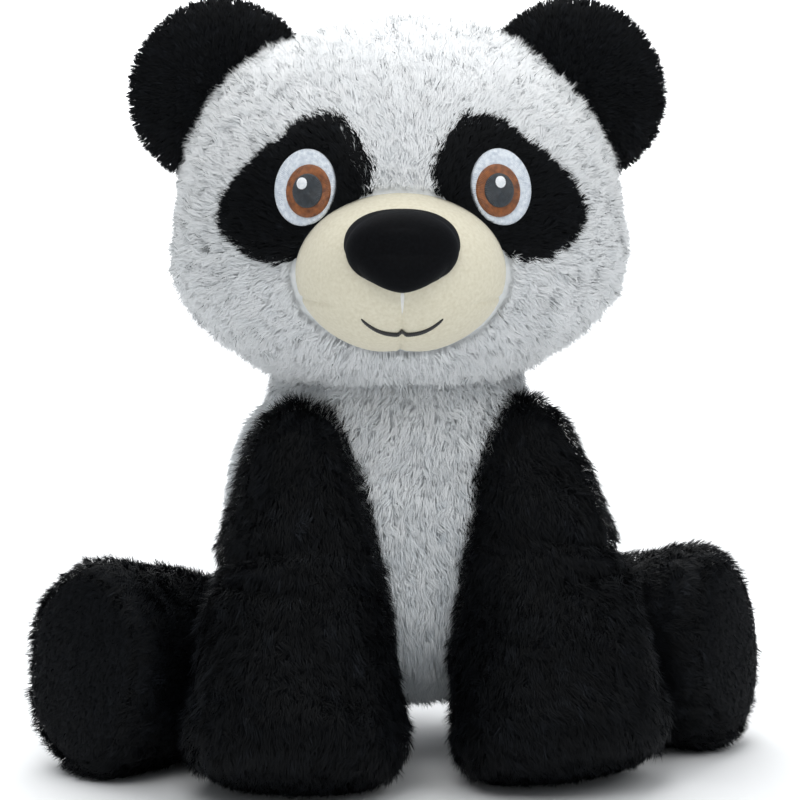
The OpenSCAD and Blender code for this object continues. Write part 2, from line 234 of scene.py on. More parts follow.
def grow_pile(cloth, fibre, per_mm2, length, comb, lock=0.003, pull=0.3, width=0.0003, rise=(1.0, 0.5),
              stray=0.16, keep=None, tone=0.5, tone_spread=0.4, gloss_spread=0.09, seed=1):
    """Pile on a cloth piece. Roots are spread evenly over its triangles, by area. A fibre is a flat
    blade, pointed at root and tip and widest between them: it starts along rise[0] parts of the
    cloth's normal and bends over to rise[1] parts of it plus the comb direction. Roots within a cell
    of about the size of a lock share a swirl and a length, and their tips are pulled towards the
    cell's mean tip. length, tone and keep may be functions of the root: keep gives the share of
    fibres that grow there."""
    root_depth, floor_gap, first_part, tones = 0.0006, 0.0002, 0.45, 64
    rng = np.random.default_rng(seed)
    mesh = cloth.data
    mesh.calc_loop_triangles()
    corner = np.empty(len(mesh.loop_triangles) * 3, np.int32)
    mesh.loop_triangles.foreach_get("vertices", corner)
    corner = corner.reshape(-1, 3)
    place = np.empty(len(mesh.vertices) * 3)
    mesh.vertices.foreach_get("co", place)
    place = place.reshape(-1, 3)
    normal = np.empty(len(mesh.vertices) * 3)
    mesh.vertices.foreach_get("normal", normal)
    normal = normal.reshape(-1, 3)
    edge_a = place[corner[:, 1]] - place[corner[:, 0]]
    edge_b = place[corner[:, 2]] - place[corner[:, 0]]
    area = np.linalg.norm(np.cross(edge_a, edge_b), axis=1) / 2
    count = int(area.sum() * 1e6 * per_mm2)
    chosen = np.searchsorted(np.cumsum(area) / area.sum(), rng.random(count)).clip(0, len(area) - 1)
    a, b = rng.random((2, count))
    a, b = np.where(a + b > 1, 1 - a, a), np.where(a + b > 1, 1 - b, b)
    share = np.stack([1 - a - b, a, b], 1)[..., None]
    root = (share * place[corner[chosen]]).sum(1)
    up = unit((share * normal[corner[chosen]]).sum(1))
    if keep is not None:
        grows = rng.random(count) < keep(root)
        root, up = root[grows], up[grows]
    count = len(root)
    warped = root / lock + 0.7 * np.sin(root[:, [1, 2, 0]] / lock * 0.9 + 1.3)
    cell = np.floor(warped).astype(np.int64) @ np.array([73856093, 19349663, 83492791])
    _, cell = np.unique(cell, return_inverse=True)
    cells = cell.max() + 1
    members = np.bincount(cell, minlength=cells)[:, None]
    own = rng.normal(size=(cells, 3))
    lock_length = rng.uniform(0.84, 1.12, cells)
    lock_tone = rng.normal(size=cells)
    long = length(root) if callable(length) else np.full(count, length)
    long = (long * lock_length[cell] * rng.uniform(0.75, 1.1, count))[:, None]
    way = comb(root, up)
    way = way - up * (way * up).sum(1, keepdims=True)
    loose = rng.normal(size=(count, 3)) * stray
    start = unit(up * rise[0] + way * 0.35 + loose * 0.5)
    end = unit(up * rise[1] + way + own[cell] * stray * 1.2 + loose)
    middle = root + start * long * first_part
    tip = middle + end * long * (1 - first_part)
    for points, strength in ((middle, pull * 0.5), (tip, pull)):
        mean = np.stack([np.bincount(cell, points[:, k], cells) for k in range(3)], 1) / members
        points += (mean[cell] - points) * strength
    end = unit(tip - middle)
    side = unit(np.cross(end, up + rng.normal(size=(count, 3)) * 0.35))
    half = side * (width / 2 * rng.uniform(0.7, 1.3, (count, 1)))
    low = root - up * root_depth
    corners = np.stack([low, middle + half, tip, middle - half], 1)
    corners[..., 2] = np.maximum(corners[..., 2], floor_gap)
    facing = unit(np.cross(side, end))
    bend = unit(up * 0.9 + facing * 0.3 + side * rng.normal(size=(count, 1)) * gloss_spread)
    normals = np.repeat(bend[:, None], 4, 1)
    normals[:, 2] = unit(bend + end * 0.3)
    loops = (np.arange(count)[:, None] * 4 + np.array([0, 1, 3, 3, 1, 2])).reshape(-1)
    pile = bpy.data.meshes.new(cloth.name + "_pile")
    pile.vertices.add(count * 4)
    pile.vertices.foreach_set("co", corners.reshape(-1))
    pile.loops.add(count * 6)
    pile.loops.foreach_set("vertex_index", loops)
    pile.polygons.add(count * 2)
    pile.polygons.foreach_set("loop_start", np.arange(count * 2) * 3)
    pile.polygons.foreach_set("loop_total", np.full(count * 2, 3))
    pile.update(calc_edges=True)
    level = tone(root) if callable(tone) else tone
    level = level + (rng.normal(size=count) * 0.6 + lock_tone[cell] * 0.6) * tone_spread / 2
    column = level.clip(0, 1) * (1 - 1 / tones)
    across = column[:, None] + np.array([0.5, 1, 0, 0, 1, 0.5]) / tones
    along = np.broadcast_to(np.array([0, 0.5, 0.5, 0.5, 0.5, 1]) / 8, (count, 6))
    uv = pile.uv_layers.new(name="OFBake")
    uv.data.foreach_set("uv", np.stack([across, along], -1).reshape(-1).astype(np.float32))
    pile.materials.append(fibre)
    pile.shade_smooth()
    pile.normals_split_custom_set_from_vertices(normals.reshape(-1, 3).tolist())
    piece = bpy.data.objects.new(pile.name, pile)
    bpy.context.collection.objects.link(piece)
    return piece


def sewn_on(body, material_slot, fill, node, cloth, *piles):
    """The cloth piece stands for its part, and cloth and pile move with the body."""
    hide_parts(node)
    for piece in (cloth, *piles):
        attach(piece, body)


no_tint, cool_tint = (1, 1, 1), (0.6, 0.7, 0.9)
white_cloth = knit_cloth("white plush backing", (0.80, 0.83, 0.85), (0.88, 0.90, 0.91), 0.002, 0.0003)
# The white pile's roots get a faint painted shade, for the shade deep between the fibres.
white_fibre = pile_fibre(
    "white plush pile",
    [(0.0, (0.62, 0.66, 0.69)), (0.3, (0.82, 0.85, 0.87)),
     (0.6, (0.90, 0.92, 0.93)), (1.0, (0.95, 0.96, 0.965))],
    (0.93, 0.945, 0.955), 0.9, 0.15, no_tint, 0.2)

back_low, back_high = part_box("back_left_panel")
neck_middle = np.array(joint["neck_turn"]["pos_m"])
torso_low, torso_high = back_low[2], neck_middle[2] + 0.016
torso_y = back_low[1]
pile_room = 0.003
torso_half = np.array([
    back_high[0] - pile_room,
    back_high[1] - torso_y - pile_room,
    (torso_high - torso_low) / 2 - 0.002])
torso_middle = np.array([0, torso_y, (torso_low + torso_high) / 2])
neck_ball, collar_rise = 0.0405, 0.008
side_seam = 1.22


def torso_skin(turn, lat):
    """Barrel: height by the sine of lat, radius by the superellipse (1 - height^3)^(1/3), turned
    about the upright axis. It has a shallow seam where the panels meet, hollows at the legs, and
    swells into a ball at the neck, where it ends under the head."""
    t = np.sin(lat)
    radius = np.maximum(1 - np.abs(t) ** 3, 0) ** (1 / 3)
    points = torso_middle + torso_half * np.stack([radius * np.sin(turn), -radius * np.cos(turn), t], -1)
    out = unit((points - torso_middle) / torso_half ** 2)
    seams = (ridge(turn - side_seam, 0.03) + ridge(turn + side_seam, 0.03)
             + ridge(abs(turn) - half_turn, 0.03))
    points += out * (unevenness(points, 0.05, 3) * 0.0010 - seams * 0.0009)[..., None]
    points = pushed_clear(points, 0, torso_y)
    from_neck = points - neck_middle
    away = np.linalg.norm(from_neck, axis=-1, keepdims=True)
    points = points + from_neck / away * np.maximum(neck_ball - away, 0)
    points[..., 2] = np.minimum(points[..., 2], torso_high + collar_rise)
    return points


def comb_down(root, up):
    """Combed down, with a slow swirl from side to side."""
    sway = unevenness(root, 0.035, 8)
    return np.stack([0.35 * sway, 0.1 * sway, -0.9 + 0 * sway], 1)


def painted_shade_below(low, high, lower, upper):
    """Painted shade: tone that rises evenly from lower to upper between two heights, so the pile is darker
    lower down, where less light reaches it.
    """
    return lambda root: lower + (upper - lower) * np.clip((root[:, 2] - low) / (high - low), 0, 1)


for node, first, last in (
        ("belly_panel", -side_seam, side_seam),
        ("back_left_panel", side_seam, half_turn),
        ("back_right_panel", -half_turn, -side_seam)):
    lat, turn = grid(np.linspace(-quarter, quarter, 80), np.linspace(first, last, 60))
    cloth = cloth_piece(node + "_cloth", torso_skin(turn, lat), white_cloth, torso_middle)
    # The pile's tone holds painted shade: it is darker towards the bottom of the torso, where the head and
    # arms shade the belly.
    pile = grow_pile(cloth, white_fibre, 4.4 if node == "belly_panel" else 2.4, 0.0062, comb_down,
                     lock=0.0032, pull=0.2, width=0.00025, rise=(0.85, 0.28), stray=0.2,
                     keep=lambda root: root[:, 2] < torso_high + 0.006,
                     tone=painted_shade_below(0.02, 0.11, 0.05, 0.65), seed=11 + len(node) + int(first > 0))
    sewn_on("torso", "white_plush", 0.8, node, cloth, pile)

# ---------------------------------------------------------------------------------------------
# Tail: a small half ball of the same white plush, stuffed and sewn on at the seat.

tail_middle = box_middle("tail_skin")
tail_radius, tail_sunk = 0.0125, 0.003
lat, turn = grid(np.linspace(-quarter, quarter, 24), np.linspace(0, full_turn, 40))


def ball(lat, turn):
    """Unit ball: across and along by the cosine of lat, up by its sine, turned about the upright."""
    return np.stack([np.cos(lat) * np.cos(turn), np.cos(lat) * np.sin(turn), np.sin(lat)], -1)


tail_points = tail_middle + tail_radius * ball(lat, turn)
tail_points[..., 1] -= tail_sunk
tail_cloth = cloth_piece("tail_cloth", tail_points, white_cloth, tail_middle)
tail_pile = grow_pile(tail_cloth, white_fibre, 3.0, 0.007, comb_down, tone=0.5, seed=5,
                      keep=lambda root: root[:, 1] > tail_middle[1] - 0.006)
sewn_on("torso", "white_plush", 0.7, "tail_skin", tail_cloth, tail_pile)

# ---------------------------------------------------------------------------------------------
# Neck: white plush drawn up over the ball of stuffing on which the head turns. It stays hidden
# under the head until the head nods.

neck_radius = 0.0422
lat, turn = grid(np.linspace(0.40, quarter, 40), np.linspace(0, full_turn, 90))
neck_cloth = cloth_piece("neck_cloth", neck_middle + neck_radius * ball(lat, turn), white_cloth, neck_middle)
neck_pile = grow_pile(neck_cloth, white_fibre, 2.6, 0.0040, comb_down, width=0.00025, rise=(0.8, 0.2),
                      keep=lambda root: root[:, 2] < torso_high + 0.022, tone=0.5, seed=7)
for piece in (neck_cloth, neck_pile):
    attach(piece, "neck")

# ---------------------------------------------------------------------------------------------
# Head: two face panels joined down the middle and one back panel, of the same long white plush, on
# a stuffed egg with full cheeks. Its pile is combed away from the muzzle and down at the back.

look = np.array(joint["head_nod"]["axis"])
head_right, head_back, head_up = -look, np.array([look[1], -look[0], 0]), np.array([0.0, 0, 1])
skull = [np.array(corner) for node in ("face_left_panel", "face_right_panel", "head_back_panel")
         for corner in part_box(node)]
skull_low, skull_high = np.min(skull, axis=0), np.max(skull, axis=0)
head_half = np.array([0.0670, 0.0597, 0.0578])
crown_pile = 0.0042
head_middle = np.array([*((skull_low + skull_high) / 2)[:2], skull_high[2] - crown_pile - head_half[2]])
ear_seam = 1.65


def fullness(t):
    """Extra width of the cheeks at height t: a bell curve about a third below the middle."""
    return 1 + 0.070 * ridge(t + 0.42, 0.36)


def from_head(local):
    """Place in the part's frame of a point given along the head's own right, back and up."""
    return head_middle + local[..., :1] * head_right + local[..., 1:2] * head_back + local[..., 2:] * head_up


def in_head(points):
    """The reverse of from_head."""
    return (points - head_middle) @ np.stack([head_right, head_back, head_up], 1)


def egg_skin(turn, lat):
    """Egg: an ellipsoid widened by the cheeks' fullness, with shallow seams between its panels."""
    t = np.sin(lat)
    ring = np.cos(lat) * fullness(t)
    local = head_half * np.stack([ring * np.sin(turn), -ring * np.cos(turn), t], -1)
    out = unit(local / head_half ** 2)
    seams = ridge(turn, 0.02) * (lat < 0) + ridge(abs(turn) - ear_seam, 0.02)
    return from_head(local + out * (unevenness(local, 0.06, 4) * 0.0010 - seams * 0.0007)[..., None])


def on_face(x, z, lift):
    """Point on the front of the egg at a place across and up, lifted along the egg's normal."""
    t = np.clip(z / head_half[2], -0.98, 0.98)
    ring = np.sqrt(1 - t ** 2) * fullness(t)
    y = -head_half[1] * ring * np.sqrt(np.maximum(1 - (x / (head_half[0] * ring)) ** 2, 0.02))
    local = np.stack([x, y, z], -1)
    return from_head(local + unit(local / head_half ** 2) * np.asarray(lift)[..., None])


def behind_front(node, depth):
    """Place in the head, on its middle line, that lies a depth behind the front of a part's box."""
    middle = box_middle(node)
    local = in_head(np.array([middle[0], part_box(node)[0][1], middle[2]]))
    return np.array([0, local[1] + depth, local[2]])


muzzle_half = np.array([0.0318, 0.0305, 0.0248])
muzzle_local = behind_front("muzzle_skin", muzzle_half[1]) - np.array([0, 0, 0.0008])
patch_half = (0.0252, 0.0158)
patch_turn = math.radians(40)
patch_out = 0.0030
right_eye_in = 0.0015


def eye_place(side):
    """Place of an eye's middle across and up the head. The right eye is sewn on a little nearer to
    the nose, as happens by hand."""
    local = in_head(box_middle("eye_white_" + side))
    return local[0] + (right_eye_in if side == "right" else 0), local[2]


def patch_middle(side):
    """Middle of the eye patch: a little outside of the eye."""
    x, z = eye_place(side)
    return x + sides[side] * patch_out, z


def patch_radius(around):
    """Reach of the eye patch at an angle from its long axis: an oval that is flatter on the outer
    upper side and squarer at its ends than an ellipse."""
    wide = patch_half[1] * (1 - 0.16 * np.sin(around))
    power = 2.5
    reach = (np.abs(np.cos(around)) / patch_half[0]) ** power + (np.abs(np.sin(around)) / wide) ** power
    return reach ** (-1 / power) * (1 + 0.02 * np.sin(5 * around + 1) + 0.015 * np.sin(9 * around))


def patch_share(points, side):
    """How far out in its eye patch a point is: 1 at the edge. The long axis runs from the top near
    the nose's bridge to the cheek."""
    local = in_head(points)
    x, z = patch_middle(side)
    across, up = (local[..., 0] - x) * sides[side], local[..., 2] - z
    along = across * math.cos(patch_turn) - up * math.sin(patch_turn)
    beside = across * math.sin(patch_turn) + up * math.cos(patch_turn)
    share = np.hypot(along, beside) / patch_radius(np.arctan2(beside, along))
    return np.where(local[..., 1] < 0, share, 9)


def muzzle_share(points):
    """How far out from the muzzle's middle a point is: 1 on its surface."""
    return np.linalg.norm((in_head(points) - muzzle_local) / muzzle_half, axis=-1)


def comb_head(root, up):
    """Away from the muzzle on the face, turning to straight down at the back of the head."""
    local = in_head(root)
    away = unit(root - from_head(muzzle_local[None] + np.array([0, 0, 0.004])))
    behind = np.clip(local[:, 1:2] / head_half[1] + 0.35, 0, 1)
    drop = np.array([0, 0, -1.0])
    cheek = np.clip(-local[:, 2:] / 0.03, 0, 1)
    way = away * (1 - behind) * 0.75 + drop * (behind * 0.9 + cheek * 0.45)
    return way + 0.2 * unevenness(root, 0.03, 6)[:, None] * np.cross(up, way)


def head_keep(root):
    """No pile under the muzzle and under the eye patches."""
    patch_edge = 0.95
    covered = ((muzzle_share(root) < 1.03) | (patch_share(root, "left") < patch_edge)
               | (patch_share(root, "right") < patch_edge))
    return 1.0 - covered


def head_length(root):
    """Short pile on the bridge of the nose, longer towards the cheeks and the back."""
    near = ridge(muzzle_share(root) - 1, 0.9)
    local = in_head(root)
    return 0.0058 - 0.0020 * near + 0.0028 * np.clip(-local[:, 2] / 0.05, 0, 1)


for node, first, last in (
        ("face_left_panel", 0, ear_seam),
        ("face_right_panel", -ear_seam, 0),
        ("head_back_panel", ear_seam, full_turn - ear_seam)):
    lat, turn = grid(np.linspace(-quarter, quarter, 90), np.linspace(first, last, 64))
    cloth = cloth_piece(node + "_cloth", egg_skin(turn, lat), white_cloth, head_middle)
    # The pile's tone holds painted shade: it is darker on the lower part of the head, where less light falls.
    pile = grow_pile(cloth, white_fibre, 5.8 if node != "head_back_panel" else 2.5, head_length, comb_head,
                     lock=0.0030, pull=0.2, width=0.00025, rise=(0.8, 0.22), stray=0.2, keep=head_keep,
                     tone=painted_shade_below(0.12, 0.2, 0.6, 0.75), tone_spread=0.25, seed=21 + int(first * 3))
    sewn_on("head", "white_plush", 0.85, node, cloth, pile)

# ---------------------------------------------------------------------------------------------
# Eye patches: leaf-shaped pieces of short black plush, sewn flat on the face around each eye. No pile
# grows under the muzzle or the stitched eye, and it is clipped short next to the eye.

black_cloth = knit_cloth("black plush backing", (0.004, 0.005, 0.007), (0.012, 0.014, 0.018), 0.002, 0.0003,
                         roughness=0.8, sheen=0.03, sheen_tint=cool_tint)
# Painted shade at the roots of the black pile, for the shade deep between the fibres.
black_root_painted_shade = (0.4, 0.4, 0.4)
short_fibre = pile_fibre(
    "short black pile",
    [(0.0, (0.0012, 0.0015, 0.002)), (0.6, (0.003, 0.0038, 0.005)),
     (0.85, (0.006, 0.0072, 0.0095)), (1.0, (0.016, 0.019, 0.024))],
    black_root_painted_shade, 0.65, 0.015, cool_tint, 0.12)
eye_half = np.array([0.0087, 0.0111])
eye_tilt = math.radians(16)


def eye_share(points, side):
    """How far out in the eye white a point is: 1 at its edge."""
    local = in_head(points)
    x, z = eye_place(side)
    across, up = (local[..., 0] - x) * sides[side], local[..., 2] - z
    a = across * math.cos(eye_tilt) + up * math.sin(eye_tilt)
    b = up * math.cos(eye_tilt) - across * math.sin(eye_tilt)
    return np.hypot(a / eye_half[0], b / eye_half[1])


for side in sides:
    out, around = grid(np.linspace(0, 1, 26), np.linspace(0, full_turn, 90))
    reach = out * patch_radius(around)
    along, beside = reach * np.cos(around), reach * np.sin(around)
    across = along * math.cos(patch_turn) + beside * math.sin(patch_turn)
    up_by = beside * math.cos(patch_turn) - along * math.sin(patch_turn)
    middle_x, middle_z = patch_middle(side)
    points = on_face(middle_x + sides[side] * across, middle_z + up_by, 0.0016 * (1 - out ** 6) - 0.0003)
    cloth = cloth_piece("eye_patch_%s_cloth" % side, points, black_cloth, head_middle)

    def patch_length(root):
        """Pile that is clipped short next to the stitched eye."""
        return 0.0044 - 0.0024 * ridge(eye_share(root, side) - 1, 0.25)

    pile = grow_pile(cloth, short_fibre, 8.0, patch_length, comb_head, lock=0.0022, rise=(1.0, 0.5),
                     keep=lambda root: (eye_share(root, side) > 1.04) & (muzzle_share(root) > 1.0),
                     tone=0.45, seed=31 + sides[side])
    sewn_on("head", "short_black_plush", None, "eye_patch_" + side, cloth, pile)

# ---------------------------------------------------------------------------------------------
# Eyes: satin stitch in four layers, one over the other: white, brown iris, slate pupil, white glint.
# Each layer's threads lie side by side, from its middle out to its edge.


def thread(name, stops, size, roughness=0.45, sheen=0.2):
    """Embroidery thread: shiny, with shades that change from thread to thread on Object coordinates."""
    material, tree, shader = plain_shader(name, roughness, sheen, (1, 1, 1), 0.5)
    place = tree.nodes.new("ShaderNodeTexCoord")
    speck = tree.nodes.new("ShaderNodeTexNoise")
    speck.inputs["Scale"].default_value = 1 / size
    speck.inputs["Detail"].default_value = 3
    tree.links.new(place.outputs["Object"], speck.inputs["Vector"])
    tree.links.new(colour_steps(tree, speck.outputs["Fac"], stops), shader.inputs["Base Color"])
    return material


def satin_disc(name, side, shift, half, lift, threads, material):
    """Oval of satin stitch on the face. Each thread is a round ridge that runs from the middle to the
    edge, so the height is the lift plus the absolute sine of half the thread count times the angle.
    The edge turns down into the plush."""
    backing, thread_depth, crown, hidden = 0.0008, 0.00016, 0.0005, 0.0002
    out = np.concatenate([np.linspace(0, 0.97, 12), [1.0, 1.0]])
    lifted = lift * np.concatenate([np.ones(12), [0.75, 0.0]]) + backing
    out, around = grid(out, np.linspace(0, full_turn, threads * 4 + 1))
    across, up_by = half[0] * out * np.cos(around), half[1] * out * np.sin(around)
    turned = across * math.cos(eye_tilt) - up_by * math.sin(eye_tilt)
    risen = across * math.sin(eye_tilt) + up_by * math.cos(eye_tilt)
    height = lifted[:, None] + thread_depth * np.abs(np.sin(threads * around / 2)) * np.clip(out * 2, 0, 1)
    height = height + crown * (1 - out ** 2)
    x, z = eye_place(side)
    height[-1] = hidden
    points = on_face(x + sides[side] * turned + shift[0], z + risen + shift[1], height)
    return cloth_piece(name, points, material, head_middle)


white_thread = thread("white thread", [(0.3, (0.52, 0.58, 0.66)), (0.7, (0.82, 0.87, 0.92))], 0.0012)
brown_thread = thread("brown thread", [(0.3, (0.12, 0.034, 0.008)), (0.7, (0.33, 0.105, 0.022))], 0.0016)
slate_thread = thread("slate thread", [(0.3, (0.012, 0.016, 0.021)), (0.7, (0.035, 0.045, 0.056))], 0.0012)
glint_thread = thread("glint thread", [(0.3, (0.80, 0.84, 0.88)), (0.7, (0.95, 0.96, 0.98))], 0.0008)
for side in sides:
    gaze = np.array([-sides[side] * 0.0013, -0.0010])
    glint = np.array([-0.0014, 0.0019] if side == "right" else [0.0002, 0.0022])
    for layer, shift, half, lift, threads, material, material_slot in (
            ("eye_white", gaze * 0, eye_half, 0.0018, 110, white_thread, "white_thread"),
            ("iris", gaze, np.array([0.0064, 0.0076]), 0.0025, 84, brown_thread, "brown_thread"),
            ("pupil", gaze, np.array([0.0043, 0.0049]), 0.0030, 52, slate_thread, "slate_thread"),
            ("glint", gaze + glint, np.array([0.0015, 0.0017]), 0.0034, 20, glint_thread, "white_thread")):
        disc = satin_disc("%s_%s_stitch" % (layer, side), side, shift, half, lift, threads, material)
        sewn_on("head", material_slot, None, "%s_%s" % (layer, side), disc)

# ---------------------------------------------------------------------------------------------
# Muzzle: cream velour over stuffing, with a seam from nose to chin and a short dart in each cheek.

velour = knit_cloth("cream velour", (0.68, 0.635, 0.49), (0.77, 0.73, 0.59), 0.0011, 0.00008,
                    roughness=0.9, sheen=0.25, sheen_tint=(1, 0.96, 0.88), specular=0.1)


def muzzle_lift(x, z):
    """Seams and soft lobes: a narrow seam and a wide shallow valley below the nose on the middle
    line, and a short dart on each side, level, from the edge inwards."""
    below = np.clip((muzzle_local[2] + 0.002 - z) / 0.006, 0, 1)
    dart = ridge(z - muzzle_local[2] + 0.0075, 0.0007) * np.clip((np.abs(x) - 0.019) / 0.004, 0, 1)
    return -0.0007 * ridge(x, 0.0007) * below - 0.0010 * ridge(x, 0.006) * below - 0.0008 * dart


lat, around = grid(np.linspace(0, 2.1, 130), np.linspace(0, full_turn, 200))
local = np.stack([np.sin(lat) * np.cos(around), -np.cos(lat), np.sin(lat) * np.sin(around)], -1)
local = muzzle_local + muzzle_half * local
risen = muzzle_lift(local[..., 0], local[..., 2])[..., None]
local = local + unit((local - muzzle_local) / muzzle_half ** 2) * risen
muzzle_middle = from_head(muzzle_local[None])[0]
muzzle = cloth_piece("muzzle_cloth", from_head(local), velour, muzzle_middle)
sewn_on("head", "velour", 0.9, "muzzle_skin", muzzle)


def on_muzzle(x, z, lift):
    """Point on the front of the muzzle at a place across and up, lifted along its normal."""
    u, w = x / muzzle_half[0], (z - muzzle_local[2]) / muzzle_half[2]
    y = muzzle_local[1] - muzzle_half[1] * np.sqrt(np.maximum(1 - u ** 2 - w ** 2, 0.01))
    local = np.stack([x, y, z], -1)
    return from_head(local + unit((local - muzzle_local) / muzzle_half ** 2) * np.asarray(lift)[..., None])


# ---------------------------------------------------------------------------------------------
# Nose: black velvet over a small stuffed pad, rounded above and pointed below, sewn on the muzzle.

velvet = knit_cloth("black velvet", (0.001, 0.001, 0.0015), (0.003, 0.0035, 0.0045), 0.0009, 0.0001,
                    roughness=0.75, sheen=0.025, sheen_tint=(0.7, 0.8, 1.0), specular=0.08)
nose_wide, nose_deep, nose_sunk = 0.0176, 0.0076, 0.0005
widest = in_head(box_middle("nose_skin"))[2] + 0.0012
out = np.concatenate([np.linspace(0, 0.9, 22), np.linspace(0.91, 1, 14)])
out, around = grid(out, np.linspace(0, full_turn, 160))
upper = np.sin(around) > 0
power = np.where(upper, 2 / 2.25, 2 / 1.6)
reach = np.where(upper, 0.0108, 0.0132)
# The outline is a superellipse, flatter above than below. The nose stands forward of the muzzle by
# the square root of 1 - out^4.5, and further where it is high, and never lies inside its own pad.
x = nose_wide * out * np.sign(np.cos(around)) * np.abs(np.cos(around)) ** power
z = widest + out * reach * np.sign(np.sin(around)) * np.abs(np.sin(around)) ** power
plump = np.sqrt(np.maximum(1 - out ** 4.5, 0)) * (nose_deep + 0.75 * np.maximum(z - widest, 0))
nose_points = on_muzzle(x, z, -nose_sunk) - plump[..., None] * head_back
pad_half = np.array([0.0161, 0.0086, 0.0111])
pad_middle = behind_front("nose_stuffing", pad_half[1])
from_pad = in_head(nose_points) - pad_middle
within = np.linalg.norm(from_pad / (pad_half + 0.0007), axis=-1, keepdims=True)
nose_points = from_head(pad_middle + from_pad / np.minimum(within, 1))
nose = cloth_piece("nose_cloth", nose_points, velvet, muzzle_middle)
sewn_on("head", "nose_velvet", 0.9, "nose_skin", nose)

# ---------------------------------------------------------------------------------------------
# Mouth: one line of black thread stitched across the muzzle's seam. It curves up to both sides and
# rises a little over the seam.

black_thread = thread("black thread", [(0.3, (0.004, 0.004, 0.005)), (0.7, (0.016, 0.016, 0.018))], 0.0008)
mouth_half, mouth_drop, smile, thread_radius = 0.0122, 0.0166, 0.0056, 0.00052
run, round_it = grid(np.linspace(-1, 1, 220), np.linspace(0, full_turn, 13))
# A thread along a line that rises to both sides by the 2.2th power of the distance from the seam.
# Its radius has a slight twist and falls to nothing at both ends.
x = mouth_half * run
z = muzzle_local[2] - mouth_drop + smile * np.abs(run) ** 2.2 + 0.0007 * ridge(run, 0.07)
twist = 1 + 0.12 * np.sin(run * 130 + round_it)
thick = thread_radius * np.sqrt(np.maximum(1 - np.abs(run) ** 14, 0)) * twist
mouth = cloth_piece(
    "mouth_thread",
    on_muzzle(x, z + thick * np.sin(round_it), 0.0001 + thick * np.cos(round_it) + muzzle_lift(x, z) * 0.6),
    black_thread, muzzle_middle)
sewn_on("head", "black_thread", None, "mouth_stitching", mouth)

# ---------------------------------------------------------------------------------------------
# Ears: a front and a back piece of short black plush around thin wadding, sewn into the head.

ear_above_seam, ear_radius, ear_puff, ear_hollow = 0.003, 0.0278, 0.0072, 0.0020
for side in sides:
    chord = np.array(joint["ear_fold_" + side]["axis"]) * sides[side]
    base = np.array(joint["ear_fold_" + side]["pos_m"])
    outward = unit(np.cross(chord, head_back))
    outward = outward if outward[2] > 0 else -outward
    ear_middle = base + outward * ear_above_seam
    for face, front in (("front", -1), ("back", 1)):
        # A disc, slightly uneven at its rim, puffed out by the square root of 1 - out^2. The front has
        # a shallow hollow in its middle.
        out, around = grid(np.linspace(0, 1, 30), np.linspace(0, full_turn, 90))
        rim = ear_radius * (1 + 0.010 * np.sin(3 * around))
        puff = ear_puff * np.sqrt(np.maximum(1 - out ** 2, 0))
        puff = puff - (ear_hollow * ridge(out, 0.5) if face == "front" else 0)
        points = (ear_middle
                  + (rim * out * np.cos(around))[..., None] * chord
                  + (rim * out * np.sin(around))[..., None] * outward
                  + (front * puff)[..., None] * head_back)
        inside = ear_middle - front * 0.02 * head_back
        cloth = cloth_piece("ear_%s_%s_cloth" % (face, side), points, black_cloth, inside)

        def comb_ear(root, up):
            """From the ear's base out to its rim."""
            return unit(root - base) * 0.8

        pile = grow_pile(cloth, short_fibre, 5.2, 0.0038, comb_ear, lock=0.0022, rise=(1.0, 0.45),
                         tone=0.5, seed=41 + sides[side] + front * 3)
        sewn_on("ear_" + side, "short_black_plush", 0.4, "ear_%s_%s" % (face, side), cloth, pile)

# ---------------------------------------------------------------------------------------------
# Front legs: an outer and an inner panel of long black plush and a shorter pad under the paw. They
# stand on the floor, lean forward, and crease softly above the paw where the stuffing bends.

long_fibre = pile_fibre(
    "long black pile",
    [(0.0, (0.0012, 0.0015, 0.002)), (0.55, (0.003, 0.0038, 0.005)),
     (0.82, (0.0065, 0.008, 0.0105)), (1.0, (0.018, 0.021, 0.027))],
    black_root_painted_shade, 0.6, 0.015, cool_tint, 0.14)


def leg_outline(s, r_top, r_foot, length, corner):
    """Radius and place along a leg, s from 0 to 1 by length of outline: a round end about the joint,
    a straight taper, a round corner and a slightly domed end. Also returns the s at which the pad or
    sole begins."""
    dome, pad_start = 0.0015, 0.55
    slope = math.atan2(r_foot - r_top, length - corner)
    arc_top, taper = r_top * (quarter - slope), math.hypot(length - corner, r_foot - r_top)
    arc_foot, flat = corner * (quarter + slope), r_foot - corner
    total = arc_top + taper + arc_foot + flat
    d = s * total
    turn_top = np.clip(d / r_top, 0, quarter - slope) - quarter
    along = np.clip(d - arc_top, 0, taper) / taper
    turn_foot = np.clip(d - arc_top - taper, 0, arc_foot) / corner - slope
    inward = np.clip(d - arc_top - taper - arc_foot, 0, flat) / max(flat, 1e-9)
    parts = [d <= arc_top, d <= arc_top + taper, d <= arc_top + taper + arc_foot]
    radius = np.select(
        parts,
        [r_top * np.cos(turn_top), r_top * math.cos(slope) + along * (r_foot - r_top) * math.cos(slope),
         flat + corner * np.cos(turn_foot)],
        flat * (1 - inward))
    place = np.select(
        parts,
        [r_top * np.sin(turn_top), -r_top * math.sin(slope) + along * (length - corner),
         length - corner + corner * np.sin(turn_foot)],
        length + dome * (1 - (1 - inward) ** 2))
    return radius, place, (arc_top + taper + arc_foot * pad_start) / total


def uneven_about(points, origin, way, radius, seed):
    """Moves the points of a leg in or out from its middle line by the cloth's unevenness, except near
    the middle of its ends."""
    out = points - origin
    out = unit(out - (out @ way)[..., None] * way)
    return points + out * (unevenness(points, 0.035, seed) * 0.0009 * (radius > 0.01))[..., None]


